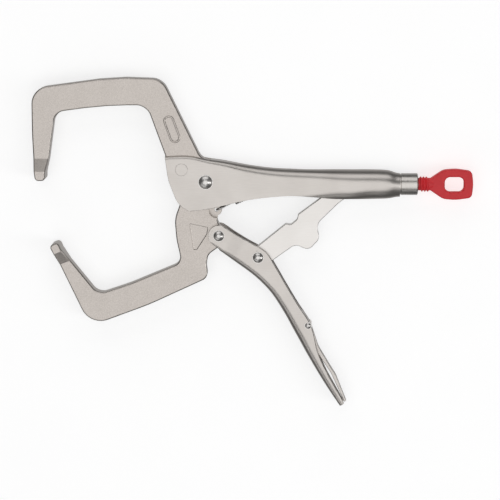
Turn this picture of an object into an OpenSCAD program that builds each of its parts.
// Locking C clamp, lying on its side with its jaws open.
// The plane of the tool is XY and its thickness is Z. Every outline is drawn about the main
// pivot, at mid thickness, and place() then moves it so that the clamp rests on Z = 0.

/* [Jaws] */
// Distance from the main pivot to the middle of both jaw tips
reach = 104.7; // [96:0.1:126]
// Height of the upper jaw's arched back above the main pivot
upper_rise = 66.8; // [60:0.1:80]
// Depth of the lower jaw's back below the main pivot, jaws closed
lower_drop = 59; // [54:0.5:72]
// Width of the two jaw backs
back_width = 17; // [13:0.5:19]
// Thickness of the jaw forgings
jaw_thickness = 10; // [8:0.5:12]
// Thickness of the swollen jaw tips
tip_thickness = 16; // [13:0.5:19]
// Width of each jaw tip at its clamping face
tip_width = 6.4; // [5.5:0.1:8]
// Angle from tips together to fully open
open_angle = 22.4; // [15:0.1:24]

/* [Fixed handle] */
// Distance from the main pivot to the rear end of the pressed handle
handle_length = 122.5; // [116:0.5:148]
// Thickness of the pressed steel sheet of both handles
sheet = 2.2; // [1.8:0.1:2.4]
// Half height of the closed tube at the rear
tube_radius = 8.8; // [8:0.1:10]
// Drop of the screw axis below the main pivot
screw_drop = 1.7; // [0:0.1:3]

/* [Linkage] */
// Distance from the lever's front pivot to the link pivot
lever_arm = 28.5; // [25:0.5:31]
// Distance from the link pivot to the centre of the link's rear end
link_length = 75.9; // [74.5:0.1:78]
// Thickness of the toggle link
link_thickness = 6.4; // [5:0.1:7.8]
// Length of the moving handle behind the link pivot, along the pivot line
grip_length = 93; // [84:0.5:112]

/* [Rivets] */
// Radius of the main pivot's shank
pivot_radius = 3.6; // [3:0.1:4]
// Radius of the two lever rivets' shanks
lever_rivet_radius = 2.9; // [2.4:0.1:3.2]
// Radius of the flush rivet that holds the upper jaw
jaw_rivet_radius = 3.4; // [2.8:0.1:3.8]
// Radius of the release lever's pin
release_pin_radius = 1.6; // [1.2:0.1:1.8]

/* [Adjusting screw] */
// Outer radius of the thread
thread_radius = 4.8; // [4:0.1:5]
// Pitch of the thread
thread_pitch = 1.8; // [1.5:0.1:2]
// Length of the threaded collar behind the handle
collar_length = 11.2; // [9:0.2:14]
// Radius of the threaded collar
collar_radius = 6.9; // [6.6:0.1:7.4]
// Length of the looped key
key_length = 27; // [24:0.5:33]
// Width across the looped key
key_width = 19.6; // [17:0.2:24]
// Thickness of the looped key
key_thickness = 6.4; // [5:0.2:8]

/* [Clearances] */
// Gap between faces that slide past each other
side_gap = 0.3; // [0.2:0.05:0.4]
// Radial clearance of a running shaft or thread
running_gap = 0.05; // [0.02:0.01:0.08]
// Gap left between the tips when the jaws are closed
pad_gap = 0.3; // [0.2:0.05:0.5]
// Free travel between the link's rear end and the screw
toggle_gap = 3; // [2.6:0.1:4]

/* [Hidden] */
$fn = 48;
steel = "#BDB6B0";
bright = "#D8D6D2";
coating = "#D8333B";

// Heights of the parting line and of the throat above and below it
tip_y = 0.4;
upper_throat = upper_rise - back_width - 1.6;
lower_throat = lower_drop - back_width;
pad_length = 6;
pad_slope = 8;

// Half thicknesses, from the middle outwards
jaw_half = jaw_thickness / 2;
moving_half = jaw_half - side_gap;
handle_half = jaw_half + sheet;
fork_half = moving_half + side_gap + sheet;
link_half = link_thickness / 2;
grip_half = link_half + side_gap + sheet;
dome_height = 2.6;
rest_height = handle_half + dome_height;

// Main pivot and the lower jaw's pivots, in the closed jaw's own frame
hub_radius = 10.5;
lobe_radius = 6.2;
boss_radius = 6.7;
lever_pivot_closed = [-5.5, -34.8];
ear_closed = [-0.9, -19.5];
ear_radius = 3.4;
ear_thickness = 3;
ear_hole = 1.3;
ear_pocket = 4.8;

// The linkage at rest: the link pivot is where the two arms meet
screw_end = [93, -screw_drop];
lever_pivot = turned(lever_pivot_closed, open_angle);
link_pivot = arms_meet(lever_pivot, lever_arm, screw_end, link_length);
lever_angle = direction(link_pivot - lever_pivot);
link_angle = direction(screw_end - link_pivot);
release_pivot = [lever_arm + 49.2, -22.6];
link_end_radius = 4.6;

// The screw, measured along its own axis from the main pivot
screw_tip = screw_end[0] + link_end_radius + toggle_gap;
collar_end = handle_length + collar_length;
neck_length = 8;
key_start = collar_end + neck_length;
spigot_length = 8;
spigot_radius = thread_radius + 1;
thread_depth = 0.55 * thread_pitch;

// Box of the whole clamp at rest, which puts the origin under its middle
grip_end = lever_arm + grip_length;
grip_tip = [grip_end, -58.6];
left_side = -reach - 4.9;
right_side = key_start + key_length;
top_side = upper_rise - 0.5;
low_side = (lever_pivot + turned(grip_tip, lever_angle))[1];
middle = [(left_side + right_side) / 2, (top_side + low_side) / 2];

function direction(v) = atan2(v[1], v[0]);
function turned(p, a) = [p[0] * cos(a) - p[1] * sin(a), p[0] * sin(a) + p[1] * cos(a)];

// Lower of the two points at distance r from p and at distance s from q
function arms_meet(p, r, q, s) =
    let (d = norm(q - p), along = (r * r - s * s + d * d) / (2 * d),
         side = sqrt(r * r - along * along), u = (q - p) / d)
    p + along * u + side * [u[1], -u[0]];

// Points of one rounded corner b between a and c; b[2] is its radius
function corner(a, b, c) =
    let (here = [b[0], b[1]],
         u = ([a[0], a[1]] - here) / norm([a[0], a[1]] - here),
         v = ([c[0], c[1]] - here) / norm([c[0], c[1]] - here),
         half = acos(max(-1, min(1, u * v))) / 2)
    b[2] == 0 || half > 89 ? [here] :
    let (centre = here + (u + v) / norm(u + v) * b[2] / sin(half),
         first = here + u * b[2] / tan(half) - centre,
         sweep = 180 - 2 * half,
         way = u[0] * v[1] - u[1] * v[0] > 0 ? -1 : 1,
         steps = max(2, ceil(sweep / 12)))
    [for (i = [0 : steps]) centre + turned(first, way * sweep * i / steps)];

// A closed outline from corners given as [x, y, radius]
function outline(c) =
    let (n = len(c))
    [for (i = [0 : n - 1]) each corner(c[(i + n - 1) % n], c[i], c[(i + 1) % n])];

module place() {
    translate([-middle[0], -middle[1], rest_height]) children();
}

module plate(corners, thickness) {
    linear_extrude(thickness, center = true) polygon(outline(corners));
}

module bar(radius, half, at = [0, 0]) {
    translate([at[0], at[1], -half]) cylinder(r = radius, h = 2 * half);
}

// A rivet with a domed head on both ends
module domed_rivet(shank, half, head, dome, at) {
    ball = (head * head + dome * dome) / (2 * dome);
    bar(shank, half, at);
    for (s = [-1, 1]) {
        translate([at[0], at[1], 0]) mirror([0, 0, s < 0 ? 1 : 0]) translate([0, 0, half])
            intersection() {
                translate([0, 0, dome - ball]) sphere(ball);
                cylinder(r = head, h = dome + 1);
            }
    }
}

// Swollen tip: the jaw's own outline, thickened towards a clamping face at y = face
module swollen_tip(corners, face, way, half) {
    pad_end = face + way * pad_length;
    slope_end = face + way * (pad_length + pad_slope);
    profile = [
        [face, tip_thickness / 2], [pad_end, tip_thickness / 2], [slope_end, half],
        [slope_end, -half], [pad_end, -tip_thickness / 2], [face, -tip_thickness / 2]
    ];
    intersection() {
        plate(corners, tip_thickness);
        translate([-reach - 15, 0, 0]) rotate([90, 0, 90]) linear_extrude(30) polygon(profile);
    }
}

// ---- Pressed sheet --------------------------------------------------------------------
// A pressed channel is a row of U sections. Each row gives the middle of its spine, the
// point between its two free edges, its half width, the outer radius of its two bends and
// the angle by which its free edges are folded in.

bend_steps = 5;
fold_steps = 4;
shortest_edge = 0.6;

function total(v, i = 0) = i < len(v) ? v[i] + total(v, i + 1) : 0;

// One half of the sheet's middle line as [depth, z, direction of its outer normal]
function half_section(depth, half, bend, fold) =
    let (m = half - sheet / 2, r = bend - sheet / 2, shoulder = sheet / 2 + r,
         step = max(m * fold * PI / 180, shortest_edge) / fold_steps,
         turns = [for (i = [1 : fold_steps]) fold * (i - 0.5) / fold_steps],
         start = max(shoulder + 0.2, depth - step * total([for (a = turns) cos(a)])))
    concat(
        [[sheet / 2, 0, 180]],
        [for (i = [0 : bend_steps])
            let (a = 90 * i / bend_steps)
            [sheet / 2 + r * (1 - cos(a)), m - r + r * sin(a), 180 - a]],
        [for (i = [0 : fold_steps])
            [start + step * total([for (k = [0 : 1 : i - 1]) cos(turns[k])]),
             m - step * total([for (k = [0 : 1 : i - 1]) sin(turns[k])]),
             90 - fold * i / fold_steps]]
    );

// Closed ring of one section: outer skin, then inner skin, on both sides of the middle
function ring(row) =
    let (spine = [row[0], row[1]], edge = [row[2], row[3]],
         axis = (edge - spine) / norm(edge - spine),
         h = half_section(norm(edge - spine), row[4], row[5], row[6]), n = len(h),
         skin = function(side, s, i)
             let (p = h[i], d = p[0] + side * sheet / 2 * cos(p[2]),
                  z = p[1] + side * sheet / 2 * sin(p[2]), q = spine + axis * d)
             [q[0], q[1], s * z])
    concat(
        [for (i = [n - 1 : -1 : 1]) skin(1, -1, i)], [for (i = [0 : n - 1]) skin(1, 1, i)],
        [for (i = [n - 1 : -1 : 1]) skin(-1, 1, i)], [for (i = [0 : n - 1]) skin(-1, -1, i)]
    );

// Rows between the given ones, eased so that the sheet flows
function eased(rows, steps) =
    let (n = len(rows))
    [for (i = [0 : n - 2], k = [0 : steps - 1])
        let (t = k / steps, a = rows[max(0, i - 1)], b = rows[i], c = rows[i + 1],
             d = rows[min(n - 1, i + 2)])
        0.5 * (2 * b + (c - a) * t + (2 * a - 5 * b + 4 * c - d) * t * t
               + (3 * b - a - 3 * c + d) * t * t * t),
     rows[n - 1]];

// The rings run so that the skin faces outwards whichever way the channel opens
module pressed_channel(rows, steps) {
    along = rows[len(rows) - 1] - rows[0];
    opening = [rows[0][2] - rows[0][0], rows[0][3] - rows[0][1]];
    flow = eased(rows, steps);
    count = len(flow);
    ahead = along[0] * opening[1] - along[1] * opening[0] > 0;
    rings = [for (i = [0 : count - 1]) ring(flow[ahead ? i : count - 1 - i])];
    n = len(rings[0]);
    last = (count - 1) * n;
    sides = [for (j = [0 : count - 2], i = [0 : n - 1])
        let (k = (i + 1) % n)
        each [[j * n + i, j * n + k, (j + 1) * n + k],
              [j * n + i, (j + 1) * n + k, (j + 1) * n + i]]];
    ends = [for (i = [0 : n / 2 - 2])
        let (a = n - 1 - i, b = n - 2 - i)
        each [[i, b, i + 1], [i, a, b], [last + i, last + i + 1, last + b],
              [last + i, last + b, last + a]]];
    polyhedron([for (r = rings) each r], concat(sides, ends));
}

// ---- Fixed half of the tool -----------------------------------------------------------

front_edge = -25.6;
web_start = 3.2;

upper_corners = [
    [-reach - tip_width / 2, tip_y, 2.4], [-reach - 4, tip_y + pad_length, 0],
    [-reach - 4.9, tip_y + 30, 60], [-reach - 4.9, upper_rise - 8.1, 11],
    [-50, upper_rise, 60], [-27, upper_rise - 2.5, 10], [-2.5, 14, 8], [web_start, 13.5, 0],
    [web_start, 8, 0], [-14, 2, 0], [front_edge + 1.6, 2, 1.5], [front_edge + 0.6, 15, 0],
    [-37, upper_throat, 9], [-62, upper_throat, 60], [-reach + 9.7, upper_throat - 4.4, 7.5],
    [-reach + 5.5, tip_y + pad_length + pad_slope, 0], [-reach + tip_width / 2, tip_y + 5, 0],
    [-reach + tip_width / 2, tip_y, 2.4]
];

mark_centre = [-21.2, 33.2];
mark_length = 16;
mark_width = 5;
mark_tilt = 20;

module capsule(width, length, height) {
    hull() for (s = [-1, 1])
        translate([0, s * (length - width) / 2, 0]) cylinder(d = width, h = height);
}

module upper_jaw() {
    color(steel) difference() {
        union() {
            plate(upper_corners, jaw_thickness);
            swollen_tip(upper_corners, tip_y, 1, jaw_half);
            translate([mark_centre[0], mark_centre[1], jaw_half - 0.5]) rotate(mark_tilt)
                capsule(mark_width + 1.4, mark_length + 1.4, 0.8);
        }
        bar(hub_radius + side_gap, jaw_half + 1);
        bar(jaw_rivet_radius, jaw_half + 1, jaw_rivet_at);
        translate([mark_centre[0], mark_centre[1], jaw_half - 0.4]) rotate(mark_tilt)
            capsule(mark_width, mark_length, 2);
    }
}

jaw_rivet_at = [-15.2, 7.8];
slot_fold = 52;
tube_middle = -screw_drop + 0.5;
tube_start = screw_end[0] - 11;

// Spine x, spine y, edge x, edge y, half width, bend radius, fold
handle_rows = [
    [-28, 16.1, -28, -19, handle_half, sheet + 0.4, 0],
    [-11, 16.6, -11, -18.6, handle_half, sheet + 0.4, 0],
    [1, 14.4, 1, -17.2, handle_half, sheet + 0.8, 0],
    [12, 12.9, 12, -14.8, handle_half - 0.1, sheet + 1.6, 0],
    [26, 10.4, 26, -11.6, handle_half - 0.6, 5, 0],
    [40, 8.6, 40, -9.7, handle_half - 0.6, 5.6, 0],
    [54, 7.8, 54, -8.7, handle_half - 0.6, 6, 6],
    [67, 7.5, 67, -9.1, handle_half - 0.4, 6.4, 25],
    [tube_start, 7.6, tube_start, tube_middle - tube_radius, 8, 7.8, slot_fold],
    [screw_end[0], tube_middle + tube_radius, screw_end[0], tube_middle - tube_radius,
     8.4, 8.4, slot_fold + 3],
    [handle_length - 18, tube_middle + tube_radius, handle_length - 18,
     tube_middle - tube_radius, 8.4, 8.4, 78],
    [handle_length - 8, tube_middle + tube_radius - 0.4, handle_length - 8,
     tube_middle - tube_radius + 0.3, 8.2, 8.2, 80],
    [handle_length - 2.5, -screw_drop + collar_radius + 0.4, handle_length - 2.5,
     -screw_drop - collar_radius - 0.2, 7.4, 7.4, 82],
    [handle_length, -screw_drop + collar_radius, handle_length,
     -screw_drop - collar_radius, 7, 7, 82]
];

// Tab cut from the web and bent down inside, for the spring's rear hook
tab_x = 53;
tab_slot = 4;
tab_width = 2.8;
tab_thickness = 1.6;
tab_top = 6.4;
tab_corners = [
    [tab_x - tab_thickness, tab_top], [tab_x - tab_thickness, -0.8], [tab_x + 1, -0.8],
    [tab_x + 1, 0.2], [tab_x, 1.2], [tab_x, tab_top]
];

front_corners = [
    [front_edge - 0.3, 30, 0], [front_edge - 0.3, 17.5, 2], [front_edge + 1.9, 1, 30],
    [front_edge + 10, -19.3, 8.5], [-6, -18.9, 0], [-6, -30, 0],
    [handle_length + 20, -30, 0], [handle_length + 20, 30, 0]
];

module fixed_handle() {
    color(steel) difference() {
        intersection() {
            pressed_channel(handle_rows, 2);
            plate(front_corners, 60);
        }
        translate([front_edge - 10, -40, -jaw_half])
            cube([web_start - front_edge + 10, 80, jaw_thickness]);
        bar(jaw_rivet_radius, rest_height, jaw_rivet_at);
        bar(pivot_radius, rest_height);
        along_screw(handle_length - spigot_length)
            cylinder(r = spigot_radius, h = spigot_length + 1);
        translate([tab_x, tab_top - 1, -tab_width / 2]) cube([tab_slot, 8, tab_width]);
    }
    color(steel) linear_extrude(tab_width, center = true) polygon(tab_corners);
}

module jaw_rivet() {
    color(steel) bar(jaw_rivet_radius, handle_half, jaw_rivet_at);
    color(steel) for (s = [-1, 1])
        translate([0, 0, s * (handle_half + 0.15)]) bar(jaw_rivet_radius + 0.5, 0.15, jaw_rivet_at);
}

module main_pivot_rivet() {
    color(bright) domed_rivet(pivot_radius, handle_half, pivot_radius + 1.1, dome_height, [0, 0]);
}

module along_screw(x) {
    translate([x, -screw_drop, 0]) rotate([0, 90, 0]) children();
}

module screw_collar() {
    color(steel) along_screw(handle_length) difference() {
        union() {
            cylinder(r = collar_radius, h = collar_length);
            translate([0, 0, -spigot_length]) cylinder(r = spigot_radius, h = spigot_length);
        }
        translate([0, 0, -spigot_length - 1])
            cylinder(r = thread_radius + running_gap, h = collar_length + spigot_length + 2);
    }
}

// ---- Lower jaw, drawn closed and swung open -------------------------------------------

lower_face = tip_y - pad_gap;
lower_corners = [
    [-reach - tip_width / 2, lower_face, 2.4], [-reach + tip_width / 2, lower_face, 2.4],
    [-reach + tip_width / 2, lower_face - 5, 0],
    [-reach + 5.4, lower_face - pad_length - pad_slope, 0],
    [-reach + 13.3, -lower_throat + 1.1, 7.5], [-70, -lower_throat - 0.3, 80],
    [-34.2, -lower_throat, 6], [-31.5, -27, 30], [-27.5, -14.5, 16], [-9.5, 3.5, 0],
    [0, 0, 0], [8.5, -5.5, 0], [3, -17, 0], [-2.7, -25, 0], [-3, -28.5, 6], [0.7, -35, 0],
    [-6, -40.9, 0], [-16.5, -43.6, 6], [-20.4, -49.5, 8], [-22.2, -lower_drop + 1.6, 5],
    [-64, -lower_drop - 0.3, 150], [-reach + 0.3, -lower_drop + 1, 13],
    [-reach - 1.9, lower_face - pad_length - pad_slope, 0]
];

pocket_corners = [
    [-19.9, -20.4, 0.8], [-9.6, -27.4, 0.8], [-12.2, -31.4, 3], [-22.2, -38.3, 1.2],
    [-24, -37.2, 0.8]
];

module lower_jaw_closed() {
    difference() {
        union() {
            plate(lower_corners, 2 * moving_half);
            swollen_tip(lower_corners, lower_face, -1, moving_half);
            bar(hub_radius, moving_half);
            bar(lobe_radius, moving_half, lever_pivot_closed);
        }
        for (s = [-1, 1]) {
            translate([ear_closed[0], ear_closed[1], s * (ear_thickness / 2 + 5)])
                cylinder(r = ear_pocket, h = 10, center = true);
            translate([0, 0, s * (moving_half + 0.5)]) plate(pocket_corners, 2);
        }
        bar(ear_hole, 20, ear_closed);
        bar(pivot_radius + running_gap, 20);
        bar(lever_rivet_radius + running_gap, 20, lever_pivot_closed);
    }
    difference() {
        bar(ear_radius, ear_thickness / 2, ear_closed);
        bar(ear_hole, 20, ear_closed);
    }
}

module lower_jaw() {
    color(steel) rotate(open_angle) lower_jaw_closed();
}

// ---- Return spring, from the jaw's ear to the handle's tab ----------------------------

spring_radius = 2.6;
wire_radius = 0.6;
hook_radius = 3;
hook_length = 9;
spring_front = turned(ear_closed, open_angle);
spring_back = [tab_x + wire_radius + 0.2, 3.4];
spring_angle = direction(spring_back - spring_front);
spring_span = norm(spring_back - spring_front);

// A hook is a ring of wire that stands across the tool's plane
module hook(x) {
    translate([x, 0, 0]) rotate([90, 0, 0]) rotate_extrude()
        translate([hook_radius, 0]) circle(wire_radius);
}

module return_spring() {
    coil_end = spring_span - hook_length;
    color(bright) translate([spring_front[0], spring_front[1], 0]) rotate(spring_angle) {
        hook(hook_radius);
        hook(spring_span - hook_radius);
        rotate([0, 90, 0]) {
            translate([0, 0, hook_length]) cylinder(r = spring_radius, h = coil_end - hook_length);
            for (x = [2 * hook_radius, coil_end])
                translate([0, 0, x]) cylinder(r = wire_radius, h = hook_length - 2 * hook_radius);
        }
    }
}

// ---- Moving handle, drawn about its front pivot with the link pivot on its x axis ------

fork_end = 4.6;

// Spine x, spine y, edge x, edge y, half width, bend radius, fold
grip_rows = [
    [-9, -7.8, -9, 7, fork_half, sheet + 0.3, 0],
    [2, -7.8, 2, 6.5, fork_half, sheet + 0.3, 0],
    [6.8, -8.3, 6.8, 6, fork_half, sheet + 0.3, 0],
    [9.8, -8.9, 9.6, 5.8, grip_half, sheet + 0.3, 0],
    [lever_arm - 10, -10.1, lever_arm - 10, 5.7, grip_half, sheet + 0.5, 0],
    [lever_arm + 1, -11.4, lever_arm + 2.5, 5.4, grip_half, sheet + 0.8, 0],
    [lever_arm + 9.5, -13.2, lever_arm + 13, -0.1, grip_half, sheet + 1, 0],
    [lever_arm + 19.5, -16.6, lever_arm + 24, -6.7, grip_half, sheet + 1.6, 0],
    [lever_arm + 31.5, -23, lever_arm + 37, -14.2, grip_half, sheet + 2.2, 0],
    [lever_arm + 42, -29.6, lever_arm + 47.8, -19.8, grip_half, sheet + 2.8, 0],
    [lever_arm + 49, -34, lever_arm + 54.3, -25, grip_half, sheet + 3, 0],
    [grip_end - 34, -40.2, grip_end - 30.4, -34.2, grip_half, sheet + 2.6, 0],
    [grip_end - 23, -46.6, grip_end - 20.4, -42, grip_half, sheet + 2, 0],
    [grip_end - 12, -52.6, grip_end - 10.1, -48.9, grip_half, sheet + 1.4, 0],
    [grip_tip[0], grip_tip[1], grip_end + 1.2, -55.8, grip_half - 0.6, sheet + 0.3, 0]
];

// Keeps the walls behind the boss and under the line that rises to it
grip_trim = [
    [0, 30, 0], [0, -boss_radius, 0], [fork_end, -7.4, 0], [fork_end, -90, 0],
    [grip_end + 20, -90, 0], [grip_end + 20, 30, 0]
];

module moving_handle_flat() {
    difference() {
        intersection() {
            pressed_channel(grip_rows, 2);
            union() {
                plate(grip_trim, 60);
                bar(boss_radius, 30);
            }
        }
        translate([-20, -20, -moving_half - side_gap])
            cube([20 + fork_end, 40, 2 * (moving_half + side_gap)]);
        bar(lever_rivet_radius, 20);
        bar(lever_rivet_radius, 20, [lever_arm, 0]);
        bar(release_pin_radius, 20, release_pivot);
    }
}

module on_lever() {
    translate([lever_pivot[0], lever_pivot[1], 0]) rotate(lever_angle) children();
}

module moving_handle() {
    color(steel) on_lever() moving_handle_flat();
}

module lever_rivet(half, x) {
    domed_rivet(lever_rivet_radius, half, lever_rivet_radius + 0.8, 2.1, [x, 0]);
}

module lever_pivot_rivet() {
    color(bright) on_lever() lever_rivet(fork_half, 0);
}

module link_rivet() {
    color(bright) on_lever() lever_rivet(grip_half, lever_arm);
}

module release_pin() {
    color(bright) on_lever()
        domed_rivet(release_pin_radius, grip_half, release_pin_radius + 0.7, 0.6, release_pivot);
}

// ---- Release lever, inside the moving handle ------------------------------------------

release_corners = [
    [-12, 9.2, 1.5], [-4, 7, 8], [3.6, -0.2, 5], [12.8, -9.2, 14], [26, -16.8, 20],
    [31.6, -19.8, 12], [grip_length - 47.4, -31.2, 0.4],
    [grip_length - 48, -32.3, 0.4], [28, -20, 12], [14, -12.8, 14], [3.5, -5.2, 5],
    [-3.2, -3.2, 3], [-6, 2.4, 5], [-13.4, 6.6, 1]
];

module release_lever() {
    color(steel) on_lever() translate([release_pivot[0], release_pivot[1], 0]) difference() {
        plate(release_corners, link_thickness);
        bar(release_pin_radius + running_gap, 20);
    }
}

// ---- Toggle link, drawn about the link pivot with its rear end on its x axis -----------

link_corners = [
    [-4, 5.4, 5], [26.8, 6.1, 1.2], [29, 3.6, 2], [34.4, 3.9, 3], [36.6, 6, 1.5],
    [58, 5.6, 20], [link_length + link_end_radius, 4.4, 4.2],
    [link_length + link_end_radius, -4.4, 4.2], [61, -3.8, 20], [42, -6, 7],
    [38, -14.6, 5], [28, -16.2, 4.5], [23.6, -8, 5], [5, -7.3, 5], [-6, -4, 4]
];

module toggle_link() {
    color(steel) translate([link_pivot[0], link_pivot[1], 0]) rotate(link_angle) difference() {
        union() {
            plate(link_corners, link_thickness);
            bar(6.6, link_half);
        }
        bar(lever_rivet_radius + running_gap, 20);
    }
}

// ---- Adjusting screw and its looped key -----------------------------------------------

// Half outline of a thread with rings at the pitch, from x = 0 to the given length
function thread_profile(length) =
    let (turns = floor(length / thread_pitch - 0.5), start = (length - turns * thread_pitch) / 2)
    concat(
        [[0, 0], [thread_radius - thread_depth, 0]],
        [for (i = [0 : turns - 1]) let (x = start + i * thread_pitch)
            each [[thread_radius - thread_depth, x], [thread_radius, x + 0.4 * thread_pitch],
                  [thread_radius, x + 0.6 * thread_pitch]]],
        [[thread_radius - thread_depth, length - start], [thread_radius - thread_depth, length],
         [0, length]]
    );

neck_wall = 0.8;
core_radius = thread_radius - thread_depth - neck_wall;
core_end = key_start + 5;

module adjusting_screw() {
    color(steel) along_screw(screw_tip)
        rotate_extrude() polygon(thread_profile(collar_end - screw_tip));
    color(steel) along_screw(collar_end) cylinder(r = core_radius, h = core_end - collar_end);
}

key_corners = [
    [-1.5, 3, 0], [0, 3.8, 0], [8, key_width / 2 - 0.6, 7], [16, key_width / 2, 20],
    [key_length - 1, key_width / 2 - 1.4, 4.5], [key_length, 0, 20],
    [key_length - 1, -key_width / 2 + 1.4, 4.5], [16, -key_width / 2, 20],
    [8, -key_width / 2 + 0.6, 7], [0, -3.8, 0], [-1.5, -3, 0]
];
eye_start = 9;
eye_end = key_length - 6;
eye_half = key_width / 2 - 5.1;
eye_corners = [
    [eye_start, eye_half, 3.4], [eye_end, eye_half, 3.4],
    [eye_end, -eye_half, 3.4], [eye_start, -eye_half, 3.4]
];

module screw_key() {
    color(coating) difference() {
        union() {
            translate([key_start, -screw_drop, 0]) difference() {
                plate(key_corners, key_thickness);
                plate(eye_corners, 20);
            }
            along_screw(collar_end + side_gap)
                rotate_extrude() polygon(thread_profile(neck_length - side_gap));
        }
        along_screw(collar_end - 1)
            cylinder(r = core_radius + running_gap, h = core_end - collar_end + 1 + side_gap);
    }
}

place() upper_jaw();
place() fixed_handle();
place() jaw_rivet();
place() main_pivot_rivet();
place() lower_jaw();
place() return_spring();
place() moving_handle();
place() lever_pivot_rivet();
place() link_rivet();
place() release_pin();
place() release_lever();
place() toggle_link();
place() screw_collar();
place() adjusting_screw();
place() screw_key();
